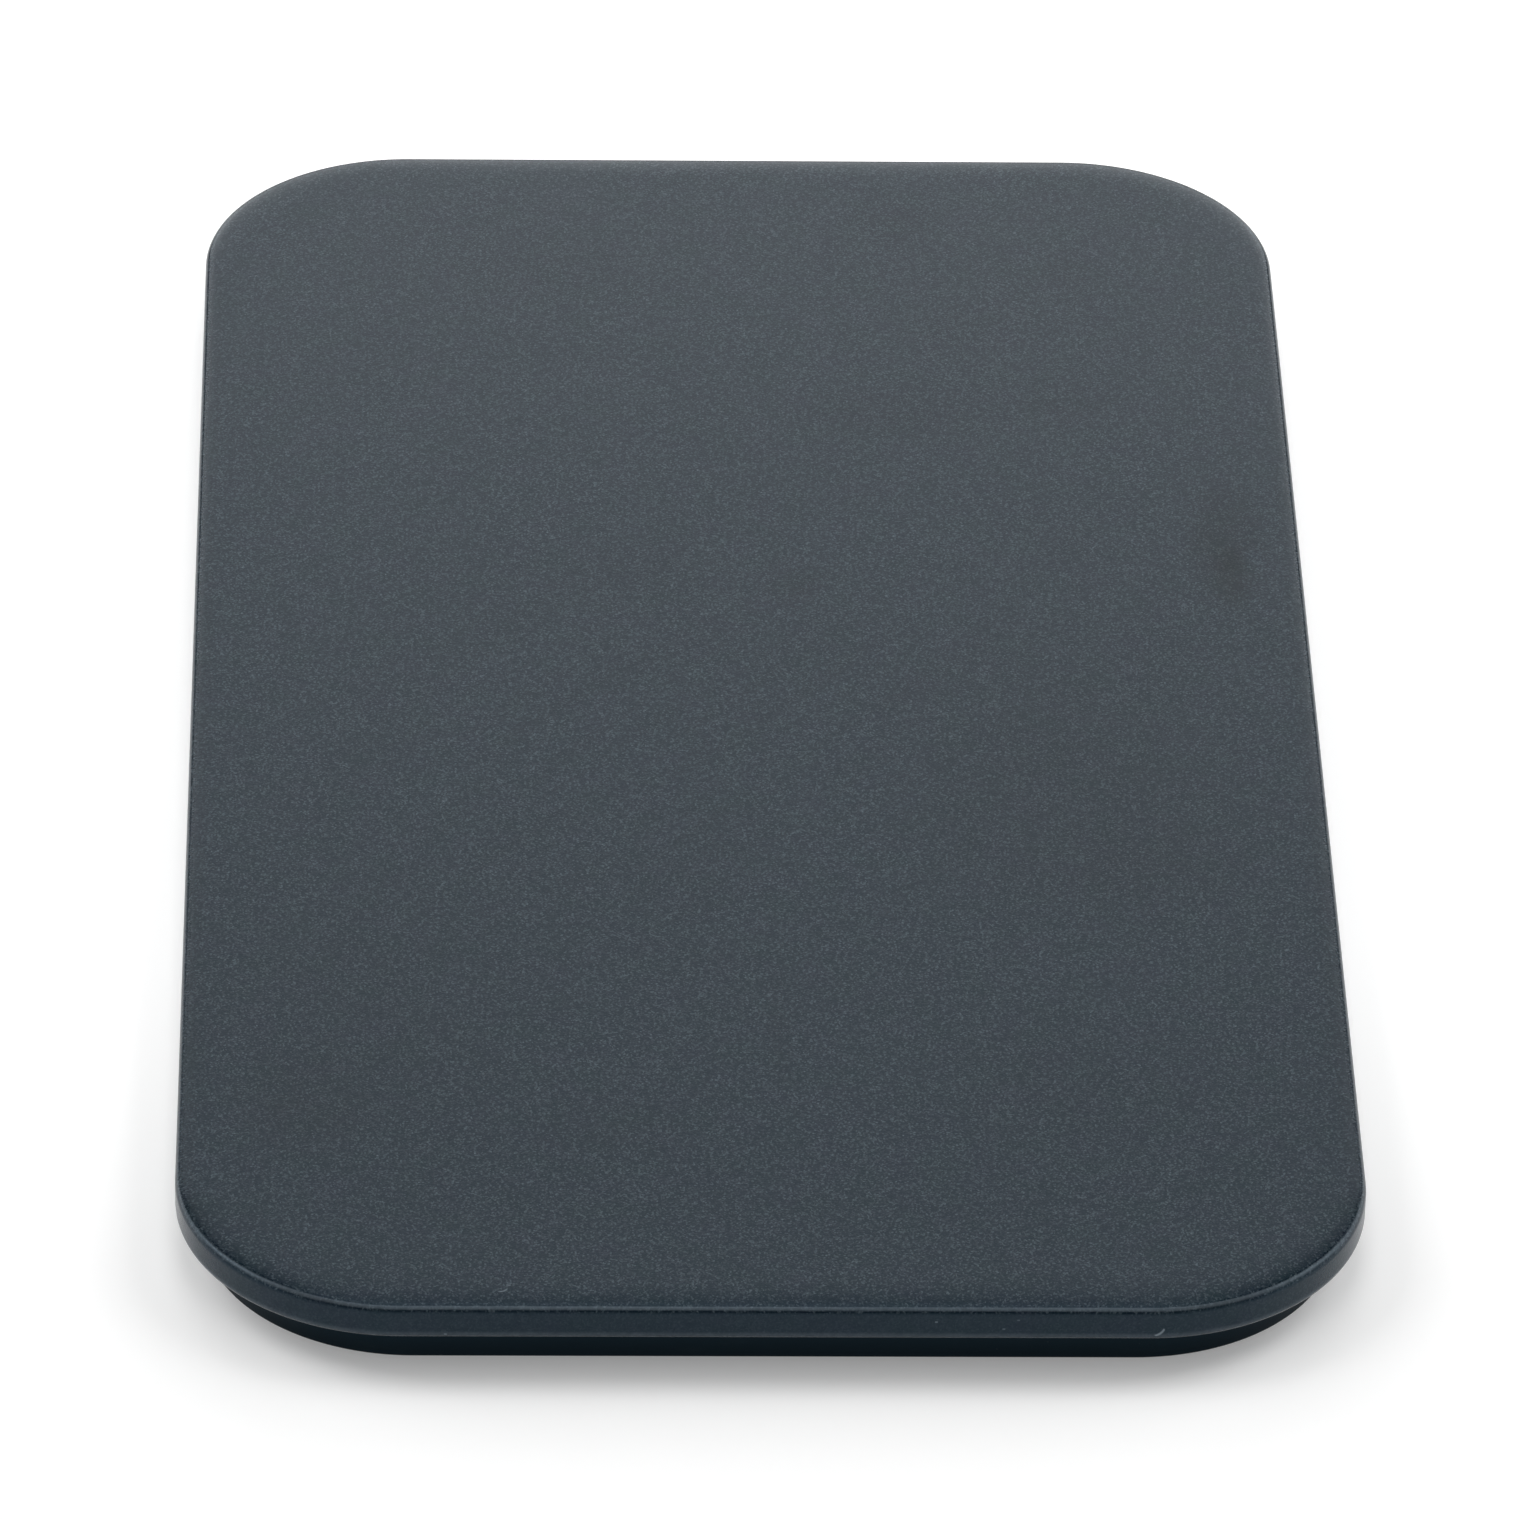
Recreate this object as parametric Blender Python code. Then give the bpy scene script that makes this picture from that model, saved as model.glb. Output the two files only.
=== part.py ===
"""Flat basalt massage stone: a honed stone slab bonded to an inset silicone base.

Run it with: blender --background --python part.py
Units are metres, +Z is up, and the origin is the middle of the face that the stone rests on.
X runs across the slab and Y along it.
"""

import math

import bmesh
import bpy

# --- Driving dimensions -------------------------------------------------------------------

SLAB_WIDTH = 0.1000  # across X
SLAB_LENGTH = 0.1850  # along Y
SLAB_THICKNESS = 0.0034
SLAB_CORNER_RADIUS = 0.0190
SLAB_UPPER_ROUND = 0.0008  # rounding of the rim of the working face
SLAB_LOWER_ROUND = 0.0008  # rounding of the rim of the underside

BASE_INSET = 0.0026  # from the slab's edge in to the base's wall
BASE_CORNER_RADIUS = 0.0174
BASE_HEIGHT = 0.0031
BASE_FOOT_ROUND = 0.0004  # rounding where the base's wall meets its resting face
BASE_RIM_WIDTH = 0.0025  # the base's top rim, outside the pocket for the adhesive

ADHESIVE_THICKNESS = 0.0003
ADHESIVE_SIDE_CLEARANCE = 0.0005  # between the adhesive's edge and the pocket's wall

CONTACT_GAP = 0.0003  # left between pieces that lie face to face

CORNER_SEGMENTS = 20  # facets of each quarter-round corner
ROUND_SEGMENTS = 4  # facets of each small edge rounding
SHARP_ANGLE = math.radians(35)  # edges that bend more than this are shaded sharp

# --- Dimensions that follow ---------------------------------------------------------------

POCKET_INSET = BASE_INSET + BASE_RIM_WIDTH
POCKET_CORNER_RADIUS = BASE_CORNER_RADIUS - BASE_RIM_WIDTH
POCKET_DEPTH = ADHESIVE_THICKNESS + CONTACT_GAP
POCKET_FLOOR_Z = BASE_HEIGHT - POCKET_DEPTH
CUTTER_OVERSHOOT = BASE_HEIGHT  # how far the pocket's cutter stands above the base

ADHESIVE_INSET = POCKET_INSET + ADHESIVE_SIDE_CLEARANCE
ADHESIVE_CORNER_RADIUS = POCKET_CORNER_RADIUS - ADHESIVE_SIDE_CLEARANCE
ADHESIVE_BOTTOM_Z = POCKET_FLOOR_Z + CONTACT_GAP

SLAB_BOTTOM_Z = BASE_HEIGHT + CONTACT_GAP

# --- Finishes: linear red, green and blue, then roughness ---------------------------------

FINISHES = {
    "honed_basalt": (0.040, 0.049, 0.056, 0.50),
    "adhesive_film": (0.300, 0.290, 0.260, 0.40),
    "silicone_rubber": (0.010, 0.012, 0.014, 0.42),
}


# --- Helpers ------------------------------------------------------------------------------


def clear_scene():
    """Removes every object that the file opened with."""
    for obj in list(bpy.data.objects):
        bpy.data.objects.remove(obj, do_unlink=True)


def new_collection(name):
    """Adds a collection to the scene."""
    collection = bpy.data.collections.new(name)
    bpy.context.scene.collection.children.link(collection)
    return collection


def finish(name):
    """Returns the Principled material of that finish."""
    red, green, blue, roughness = FINISHES[name]
    material = bpy.data.materials.new(name)
    material.use_nodes = True
    shader = material.node_tree.nodes["Principled BSDF"]
    shader.inputs["Base Color"].default_value = (red, green, blue, 1.0)
    shader.inputs["Roughness"].default_value = roughness
    shader.inputs["Metallic"].default_value = 0.0
    return material


def round_edges(mesh, edges, radius, segments):
    """Rounds those edges of a bmesh to a radius."""
    bmesh.ops.bevel(
        mesh,
        geom=edges,
        offset=radius,
        offset_type="OFFSET",
        affect="EDGES",
        segments=segments,
        profile=0.5,
        clamp_overlap=True,
    )


def rounded_slab(
    name, inset, corner_radius, bottom, height, upper_round=0.0, lower_round=0.0
):
    """Makes a flat slab that follows the stone's outline, drawn in by inset on all sides.

    It stands on z = bottom. Its four corners have corner_radius, and the rims of its upper
    and lower faces are rounded by upper_round and lower_round.
    """
    mesh = bmesh.new()
    bmesh.ops.create_cube(mesh, size=1.0)
    size = (SLAB_WIDTH - 2 * inset, SLAB_LENGTH - 2 * inset, height)
    bmesh.ops.scale(mesh, vec=size, verts=mesh.verts)

    def upright(edge):
        return abs(edge.verts[0].co.z - edge.verts[1].co.z) > height / 2

    def at_height(edge, z):
        return all(math.isclose(vert.co.z, z, abs_tol=1e-6) for vert in edge.verts)

    uprights = [edge for edge in mesh.edges if upright(edge)]
    round_edges(mesh, uprights, corner_radius, CORNER_SEGMENTS)
    for z, radius in ((height / 2, upper_round), (-height / 2, lower_round)):
        if radius > 0:
            rim = [edge for edge in mesh.edges if at_height(edge, z)]
            round_edges(mesh, rim, radius, ROUND_SEGMENTS)

    data = bpy.data.meshes.new(name)
    mesh.to_mesh(data)
    mesh.free()
    data.shade_smooth()
    data.set_sharp_from_angle(angle=SHARP_ANGLE)
    obj = bpy.data.objects.new(name, data)
    obj.location.z = bottom + height / 2
    return obj


# --- Pieces -------------------------------------------------------------------------------


def stone_slab():
    """The honed basalt slab. Its top is the working face, and both rims are eased."""
    slab = rounded_slab(
        "stone_slab",
        inset=0.0,
        corner_radius=SLAB_CORNER_RADIUS,
        bottom=SLAB_BOTTOM_Z,
        height=SLAB_THICKNESS,
        upper_round=SLAB_UPPER_ROUND,
        lower_round=SLAB_LOWER_ROUND,
    )
    slab.data.materials.append(finish("honed_basalt"))
    return slab


def adhesive_sheet():
    """The die-cut sheet of double-sided adhesive that lies in the base's pocket."""
    sheet = rounded_slab(
        "adhesive_sheet",
        inset=ADHESIVE_INSET,
        corner_radius=ADHESIVE_CORNER_RADIUS,
        bottom=ADHESIVE_BOTTOM_Z,
        height=ADHESIVE_THICKNESS,
    )
    sheet.data.materials.append(finish("adhesive_film"))
    return sheet


def pocket_cutter():
    """The shape cut out of the base's top to take the adhesive sheet."""
    cutter = rounded_slab(
        "pocket_cutter",
        inset=POCKET_INSET,
        corner_radius=POCKET_CORNER_RADIUS,
        bottom=POCKET_FLOOR_Z,
        height=POCKET_DEPTH + CUTTER_OVERSHOOT,
    )
    cutter.hide_render = True
    cutter.display_type = "WIRE"
    return cutter


def silicone_base(cutter):
    """The moulded silicone base: a pad with a shallow pocket in its top."""
    base = rounded_slab(
        "silicone_base",
        inset=BASE_INSET,
        corner_radius=BASE_CORNER_RADIUS,
        bottom=0.0,
        height=BASE_HEIGHT,
        lower_round=BASE_FOOT_ROUND,
    )
    base.data.materials.append(finish("silicone_rubber"))
    pocket = base.modifiers.new("adhesive_pocket", "BOOLEAN")
    pocket.operation = "DIFFERENCE"
    pocket.object = cutter
    return base


def main():
    clear_scene()
    parts = new_collection("massage_stone")
    cutters = new_collection("cutters")
    cutter = pocket_cutter()
    cutters.objects.link(cutter)
    for piece in (silicone_base(cutter), adhesive_sheet(), stone_slab()):
        parts.objects.link(piece)


main()
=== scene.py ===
"""Visual model of a flat massage stone: a honed basalt slab bonded to an inset silicone base.

Units are metres, +Z is up, X runs across the stone and Y along it, away from the camera.
"""

import logging
import math
from dataclasses import dataclass, field
from enum import Enum

import bpy
import numpy as np
from mathutils import Matrix, Vector

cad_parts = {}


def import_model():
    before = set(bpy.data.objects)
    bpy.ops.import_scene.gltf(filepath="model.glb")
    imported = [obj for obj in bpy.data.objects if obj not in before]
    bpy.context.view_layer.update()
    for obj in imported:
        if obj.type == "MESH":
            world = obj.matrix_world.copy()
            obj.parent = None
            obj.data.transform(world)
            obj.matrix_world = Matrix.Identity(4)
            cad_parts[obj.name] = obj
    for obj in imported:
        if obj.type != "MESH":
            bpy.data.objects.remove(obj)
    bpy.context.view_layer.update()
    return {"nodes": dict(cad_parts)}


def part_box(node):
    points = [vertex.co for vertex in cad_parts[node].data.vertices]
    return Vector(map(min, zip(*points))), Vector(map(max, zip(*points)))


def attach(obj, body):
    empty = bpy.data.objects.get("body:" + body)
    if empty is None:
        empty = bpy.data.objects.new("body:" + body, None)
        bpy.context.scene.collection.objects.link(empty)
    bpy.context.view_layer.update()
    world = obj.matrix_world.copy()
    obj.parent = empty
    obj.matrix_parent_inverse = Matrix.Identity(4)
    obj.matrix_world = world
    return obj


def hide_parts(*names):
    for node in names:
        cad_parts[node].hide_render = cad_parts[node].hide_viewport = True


LOG = logging.getLogger("massage_stone")
MM = 0.001
LEAST_FLAT = 0.35  # keeps an overhead light from narrowing to a strip
MIX_UNDER, MIX_OVER, MIX_RESULT = 6, 7, 2  # the Mix node's sockets for colours

Colour = tuple[float, float, float]
Place = tuple[float, float, float]
Profile = list[tuple[float, float]]
Value = float | bpy.types.NodeSocket
Triple = Colour | Vector | bpy.types.NodeSocket


class Slot(Enum):
    """The material slots."""

    STONE = "honed_basalt"
    ADHESIVE = "adhesive_film"
    RUBBER = "silicone_rubber"


# --- Node graphs --------------------------------------------------------------------------


@dataclass(frozen=True)
class Cloud:
    """Cloudy noise: the size of one cloud in metres, its finer layers and how strong they are.

    Each cloud is longer along each axis by the stretch. Those axes are turned about Z by the
    turn, in degrees anticlockwise.
    """

    size: float
    detail: float = 2.0
    rough: float = 0.5
    stretch: Place = (1.0, 1.0, 1.0)
    turn: float = 0.0


@dataclass(frozen=True)
class Scatter:
    """Scattered round specks.

    The spacing is the mean distance in metres between the places where a speck may lie. The
    reach is a speck's radius as a part of that, and the share is the part of the places that
    hold a speck. The shift is a number that sets this scatter apart from the others.
    """

    spacing: float
    reach: float
    share: float
    shift: float


@dataclass(frozen=True)
class Fibre:
    """A fibre of lint, or a speck where it is about as long as it is wide, in metres.

    It runs along its direction and bends towards its side. The core is the part of its width,
    and the body the part of its length, over which it doesn't fade yet.
    """

    centre: Place
    direction: Place = (1.0, 0.0, 0.0)
    side: Place = (0.0, 0.0, 1.0)
    length: float = 0.25 * MM
    width: float = 0.10 * MM
    core: float = 0.3
    body: float = 0.8
    bend: float = 0.0
    level: float = 0.6


class Graph:
    """The node tree of one material, with short ways to add nodes and join them."""

    def __init__(self, name: str) -> None:
        """Starts a material that has only its Principled shader and its output.

        Args:
            name: The material's name.
        """
        self.material = bpy.data.materials.new(name)
        self.material.use_nodes = True
        self.tree = self.material.node_tree
        self.shader = self.tree.nodes["Principled BSDF"]
        place = self.tree.nodes.new("ShaderNodeTexCoord")
        self.place: bpy.types.NodeSocket = place.outputs["Object"]

    def put(self, socket: bpy.types.NodeSocket, value: Value | Triple) -> None:
        """Feeds a socket from another socket, or sets it to a constant.

        Args:
            socket: The input to feed.
            value: An output socket, a number, or three numbers.
        """
        if isinstance(value, bpy.types.NodeSocket):
            self.tree.links.new(value, socket)
        elif socket.type == "RGBA":
            socket.default_value = (*value, 1.0)
        else:
            socket.default_value = value

    def dress(self, inputs: dict[str, Value | Triple]) -> None:
        """Feeds the shader.

        Args:
            inputs: What feeds each of the shader's named inputs.
        """
        for key, value in inputs.items():
            self.put(self.shader.inputs[key], value)

    def add(
        self, kind: str, inputs: dict[str, Value | Triple], **settings: object
    ) -> bpy.types.Node:
        """Adds a node.

        Args:
            kind: The node's type name, without the ShaderNode at its front.
            inputs: What feeds each named input.
            settings: Values of the node's own settings.

        Returns:
            The new node.
        """
        node = self.tree.nodes.new("ShaderNode" + kind)
        for key, value in settings.items():
            setattr(node, key, value)
        for key, value in inputs.items():
            self.put(node.inputs[key], value)
        return node

    def math(self, operation: str, *values: Value) -> bpy.types.NodeSocket:
        """Works out a number from one to three others.

        Args:
            operation: The Math node's operation.
            values: What it works on, in order.

        Returns:
            The result's socket.
        """
        node = self.tree.nodes.new("ShaderNodeMath")
        node.operation = operation
        for socket, value in zip(node.inputs, values):
            self.put(socket, value)
        return node.outputs[0]

    def vector(self, operation: str, *values: Value | Triple) -> bpy.types.NodeSocket:
        """Works out a vector, or a number for a length or a dot product.

        Args:
            operation: The Vector Math node's operation.
            values: What it works on, in order. For SCALE the second is the factor.

        Returns:
            The result's socket.
        """
        node = self.tree.nodes.new("ShaderNodeVectorMath")
        node.operation = operation
        if operation == "SCALE":
            self.put(node.inputs["Vector"], values[0])
            self.put(node.inputs["Scale"], values[1])
            return node.outputs["Vector"]
        for socket, value in zip(node.inputs, values):
            self.put(socket, value)
        return node.outputs["Value" if operation in ("LENGTH", "DOT_PRODUCT") else "Vector"]

    def total(self, *values: Value) -> bpy.types.NodeSocket:
        """Adds up any count of numbers.

        Args:
            values: The numbers.

        Returns:
            The sum's socket.
        """
        result = values[0]
        for value in values[1:]:
            result = self.math("ADD", result, value)
        return result

    def noise(self, cloud: Cloud) -> bpy.types.NodeSocket:
        """Makes cloudy noise, from -1 to 1 about nought.

        Args:
            cloud: The noise's shape.

        Returns:
            The noise's socket.
        """
        place = self.place
        if cloud.turn:
            inputs = {"Vector": place, "Angle": -math.radians(cloud.turn)}
            place = self.add("VectorRotate", inputs, rotation_type="Z_AXIS").outputs["Vector"]
        scale = tuple(1.0 / (cloud.size * part) for part in cloud.stretch)
        place = self.vector("MULTIPLY", place, scale)
        inputs = {"Vector": place, "Scale": 1.0, "Detail": cloud.detail, "Roughness": cloud.rough}
        noise = self.add("TexNoise", inputs).outputs["Fac"]
        return self.math("MULTIPLY_ADD", noise, 2.0, -1.0)

    def cells(self, size: float, shift: float = 0.0) -> bpy.types.Node:
        """Splits space into packed cells.

        Args:
            size: A cell's mean width in metres.
            shift: A number that sets these cells apart from others.

        Returns:
            The Voronoi Texture node.
        """
        place = self.vector("SCALE", self.place, 1.0 / size)
        if shift:
            place = self.vector("ADD", place, (shift, shift, shift))
        return self.add("TexVoronoi", {"Vector": place, "Scale": 1.0, "Randomness": 1.0})

    def specks(self, scatter: Scatter) -> bpy.types.NodeSocket:
        """Makes scattered round specks: 1 at the middle of a speck and 0 between them.

        Args:
            scatter: How they are scattered.

        Returns:
            The specks' socket.
        """
        cell = self.cells(scatter.spacing, scatter.shift)
        near = self.fade(cell.outputs["Distance"], 0.0, scatter.reach)
        chance = self.add("SeparateColor", {"Color": cell.outputs["Color"]}).outputs["Red"]
        held = self.math("LESS_THAN", chance, scatter.share)
        return self.math("MULTIPLY", near, held)

    def crystals(self, size: float) -> bpy.types.NodeSocket:
        """Makes packed crystals that each have their own level, from 0 to 1.

        Args:
            size: A crystal's mean width in metres.

        Returns:
            The level's socket.
        """
        colour = self.cells(size).outputs["Color"]
        return self.add("SeparateColor", {"Color": colour}).outputs["Green"]

    def fade(self, value: Value, full: float, gone: float) -> bpy.types.NodeSocket:
        """Fades smoothly from 1 to 0 as a number goes from one value to another.

        Args:
            value: The number.
            full: Where the result is 1.
            gone: Where the result is 0.

        Returns:
            The result's socket.
        """
        node = self.add(
            "MapRange",
            {"Value": value, "From Min": full, "From Max": gone, "To Min": 1.0, "To Max": 0.0},
            interpolation_type="SMOOTHSTEP",
        )
        return node.outputs["Result"]

    def near(self, value: Value, centre: float, full: float, gone: float) -> bpy.types.NodeSocket:
        """Fades smoothly from 1 to 0 as a number goes away from a centre, to either side.

        Args:
            value: The number.
            centre: The centre.
            full: How far from it the result is still 1.
            gone: How far from it the result is 0.

        Returns:
            The result's socket.
        """
        off = self.math("ABSOLUTE", self.math("SUBTRACT", value, centre))
        return self.fade(off, full, gone)

    def mix(self, under: Triple, over: Triple, cover: Value) -> bpy.types.NodeSocket:
        """Lays one colour over another.

        Args:
            under: The colour below.
            over: The colour on top.
            cover: How much the top one covers, where 1 and more is all of it.

        Returns:
            The colour's socket.
        """
        node = self.add("Mix", {"Factor": self.math("MINIMUM", cover, 1.0)}, data_type="RGBA")
        self.put(node.inputs[MIX_UNDER], under)
        self.put(node.inputs[MIX_OVER], over)
        return node.outputs[MIX_RESULT]

    def tint(
        self, tone: Colour, level: Value, shift: Colour, amount: Value
    ) -> bpy.types.NodeSocket:
        """Makes a colour from a tone, its level and a shift of hue.

        Args:
            tone: The plain colour, in linear red, green and blue.
            level: What the tone is multiplied by.
            shift: A colour that is added on top.
            amount: How much of it is added.

        Returns:
            The colour's socket.
        """
        plain = self.vector("SCALE", tone, level)
        return self.vector("ADD", plain, self.vector("SCALE", shift, amount))

    def bump(
        self, height: Value, depth: float, below: bpy.types.NodeSocket | None = None
    ) -> bpy.types.NodeSocket:
        """Turns a height map into a bent normal.

        Args:
            height: The map, from 0 to 1 or from -1 to 1.
            depth: How many metres one unit of the map stands up.
            below: The normal of a bump that this one lies on.

        Returns:
            The normal's socket.
        """
        inputs: dict[str, Value | Triple] = {"Strength": 1.0, "Distance": depth, "Height": height}
        if below is not None:
            inputs["Normal"] = below
        return self.add("Bump", inputs).outputs["Normal"]

    def fibre(self, fibre: Fibre) -> bpy.types.NodeSocket:
        """Marks a fibre or a speck that lies on the surface: 1 on it and 0 beside it.

        Args:
            fibre: The fibre.

        Returns:
            The mark's socket.
        """
        along = Vector(fibre.direction).normalized()
        side = Vector(fibre.side).normalized()
        offset = self.vector("SUBTRACT", self.place, fibre.centre)
        reach = self.vector("DOT_PRODUCT", offset, along)
        bow = self.math("MULTIPLY", self.math("MULTIPLY", reach, reach), fibre.bend)
        bent = self.vector("SCALE", side, bow)
        spine = self.vector("ADD", self.vector("SCALE", along, reach), bent)
        away = self.vector("LENGTH", self.vector("SUBTRACT", offset, spine))
        near = self.fade(away, fibre.width * fibre.core, fibre.width)
        half = fibre.length / 2
        ends = self.fade(self.math("ABSOLUTE", reach), half * fibre.body, half)
        return self.math("MULTIPLY", near, ends)

    def spot(
        self, centre: tuple[float, float], radii: tuple[float, float], edge: float
    ) -> bpy.types.NodeSocket:
        """Marks an oval on the surface as seen from above: 1 inside it and 0 well outside.

        Args:
            centre: X and Y of its middle, in metres.
            radii: Its half widths along X and Y, in metres.
            edge: How far its edge fades, as a part of its radius.

        Returns:
            The mark's socket.
        """
        offset = self.vector("SUBTRACT", self.place, (*centre, 0.0))
        scaled = self.vector("MULTIPLY", offset, (1 / radii[0], 1 / radii[1], 0.0))
        return self.fade(self.vector("LENGTH", scaled), 1.0 - edge, 1.0 + edge)


# --- Finishes -----------------------------------------------------------------------------


@dataclass(frozen=True)
class Smudge:
    """A faint mark that hands have left on the working face.

    It is darker or lighter than the stone round it, and so is its gloss.
    """

    centre: tuple[float, float]
    radii: tuple[float, float]
    level: float
    edge: float


@dataclass(frozen=True)
class Rim:
    """Where the rim of the slab lies, for the painted highlights, painted shade and polish that
    follow it.
    """

    half_width: float
    half_length: float
    corner: float
    upper_round: float
    lower_round: float
    top: float
    under: float


@dataclass(frozen=True)
class HonedBasalt:
    """Fine, dark blue-grey basalt, honed to a satin that has no polish.

    A level is what a texture adds to the stone's own level of 1, or to its roughness where the
    name says rough. A highlight is how much of the dust's colour is painted on where the rim
    catches light. There are painted highlights on the upper arris along the near end and on the
    lower round. On the wall there is a lightening that is partly a paler ground edge and partly a
    painted reflection of the floor. The shade band is painted shade, a darker ring just inside the
    rim.
    The centres and the polish's reach are in upper rounds in from the edge, and the foot's
    fade is in lower rounds up from the underside.
    """

    tone: Colour = (0.0005, 0.0064, 0.0128)
    grain_tone: Colour = (0.0053, 0.0064, 0.0070)
    hue_shift: Colour = (0.0018, -0.0012, 0.0022)
    # also the colour that paints the rim's highlights
    dust: Colour = (0.16, 0.19, 0.215)
    sheen_tint: Colour = (0.54, 0.79, 1.0)
    glass_index: float = 1.293
    roughness: float = 0.37

    clouds: Cloud = Cloud(34 * MM, 3.0, 0.5, (1.5, 1.0, 1.0))
    cloud_level: float = 0.05
    cloud_rough: float = 0.02
    mottle: Cloud = Cloud(2.6 * MM)
    mottle_level: float = 0.06
    hue: Cloud = Cloud(3.2 * MM, 1.0)
    glints: Scatter = Scatter(0.9 * MM, 0.16, 0.35, 3.1)
    glint_level: float = 0.3
    pits: Scatter = Scatter(1.3 * MM, 0.16, 0.30, 7.7)
    pit_level: float = -0.35
    least_level: float = 0.2

    grain: Cloud = Cloud(0.20 * MM, 1.0, 0.6)
    grit: Cloud = Cloud(0.09 * MM, 0.0)
    grain_power: float = 0.7
    grain_rough: float = 0.05
    grain_depth: float = 0.008 * MM
    crystal_size: float = 0.155 * MM
    crystal_power: float = 4.2

    wipe: Cloud = Cloud(1.3 * MM, 2.0, 0.6, (16.0, 1.0, 1.0), 50.0)
    wipe_centre: tuple[float, float] = (-6 * MM, -8 * MM)
    wipe_radii: tuple[float, float] = (34 * MM, 26 * MM)
    wipe_edge: float = 0.5
    wipe_level: float = 0.22
    ragged: Cloud = Cloud(3.5 * MM, 3.0, 0.6)
    ragged_level: float = 1.2
    mark_rough: float = -0.12
    motes: Scatter = Scatter(4.2 * MM, 0.035, 0.12, 1.9)
    mote_level: float = 0.6

    wall_depth: float = 0.12 * MM
    # the wall is lighter all round: partly a paler ground edge, partly a painted reflection of the
    # floor
    wall_wear_and_reflection: float = 0.055
    wall_calm: float = 0.55
    # painted highlights: these arris and foot fields make the upper arris along the near end, and
    # the lower round, lighter
    arris_centre: float = 0.76
    arris_fade: tuple[float, float] = (0.06 * MM, 0.22 * MM)
    arris_highlight: float = 0.34
    arris_highlight_end: tuple[float, float] = (4 * MM, 15 * MM)
    foot_fade: tuple[float, float] = (0.8, 1.25)
    foot_highlight: float = 0.15
    broken: Cloud = Cloud(0.9 * MM, 2.0, 0.7)
    broken_level: float = 0.45
    # painted shade: a darker band just inside the rim
    shade_band_centre: float = 2.2
    shade_band_fade: tuple[float, float] = (0.3 * MM, 1.2 * MM)
    shade_band_level: float = -0.10
    polish_reach: float = 2.5
    rim_polish: float = 0.13

    def material(
        self, rim: Rim, smudges: tuple[Smudge, ...], fibres: tuple[Fibre, ...]
    ) -> bpy.types.Material:
        """Makes the stone's material.

        Args:
            rim: Where the slab's rim lies.
            smudges: The marks on its working face.
            fibres: The fibres and specks of lint that lie on it.

        Returns:
            The material.
        """
        g = Graph(Slot.STONE.value)
        inset = self.inset(g, rim)
        wall = g.fade(inset, 0.0, self.wall_depth)
        clouds = g.noise(self.clouds)
        grain = g.noise(self.grain)
        glints = g.specks(self.glints)
        pits = g.specks(self.pits)
        marks = self.marks(g, smudges)
        # painted shade: a darker band just inside the rim
        band = g.near(inset, self.shade_band_centre * rim.upper_round, *self.shade_band_fade)
        level = g.total(
            1.0,
            g.math("MULTIPLY", clouds, self.cloud_level),
            g.math("MULTIPLY", g.noise(self.mottle), self.mottle_level),
            g.math("MULTIPLY", glints, self.glint_level),
            g.math("MULTIPLY", pits, self.pit_level),
            g.math("MULTIPLY", band, self.shade_band_level),
            marks,
        )
        level = g.math("MAXIMUM", level, self.least_level)
        # lint and dust, together with the rim's painted highlights and the wall's partly painted
        # reflection
        pale_cover = g.total(self.lint(g, fibres), self.rim_highlights(g, rim, inset, wall))

        polished = g.fade(inset, rim.upper_round, self.polish_reach * rim.upper_round)
        rough = g.total(
            self.roughness,
            g.math("MULTIPLY", clouds, self.cloud_rough),
            g.math("MULTIPLY", grain, self.grain_rough),
            g.math("MULTIPLY", marks, self.mark_rough),
            g.math("MULTIPLY", polished, -self.rim_polish),
        )
        tooth = g.bump(grain, self.grain_depth)
        g.dress({
            "Base Color": g.mix(self.stone(g, level, grain, wall), self.dust, pale_cover),
            "Roughness": rough,
            "IOR": self.glass_index,
            "Specular Tint": self.sheen_tint,
            "Normal": g.bump(g.math("SUBTRACT", glints, pits), self.grain_depth, tooth),
        })
        return g.material

    @staticmethod
    def inset(g: Graph, rim: Rim) -> bpy.types.NodeSocket:
        """Measures how far in from the slab's edge a point lies, as seen from above.

        Args:
            g: The graph that it is worked out in.
            rim: Where the slab's rim lies.

        Returns:
            The distance's socket. It is the corner radius all over the middle of the slab.
        """
        core = (rim.half_width - rim.corner, rim.half_length - rim.corner, 0.0)
        flat = g.vector("MULTIPLY", g.place, (1.0, 1.0, 0.0))
        over = g.vector("SUBTRACT", g.vector("ABSOLUTE", flat), core)
        past = g.vector("LENGTH", g.vector("MAXIMUM", over, (0.0, 0.0, 0.0)))
        return g.math("SUBTRACT", rim.corner, past)

    def marks(self, g: Graph, smudges: tuple[Smudge, ...]) -> bpy.types.NodeSocket:
        """Works out how much lighter or darker hands have left the working face.

        Args:
            g: The graph that it is worked out in.
            smudges: The marks.

        Returns:
            The level's socket.
        """
        wiped = g.spot(self.wipe_centre, self.wipe_radii, self.wipe_edge)
        wiped = g.math("MULTIPLY", g.noise(self.wipe), wiped)
        marks = g.math("MULTIPLY", wiped, self.wipe_level)
        ragged = g.math("MULTIPLY_ADD", g.noise(self.ragged), self.ragged_level, 1.0)
        for smudge in smudges:
            mark = g.spot(smudge.centre, smudge.radii, smudge.edge)
            marks = g.math("MULTIPLY_ADD", g.math("MULTIPLY", mark, ragged), smudge.level, marks)
        return marks

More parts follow.
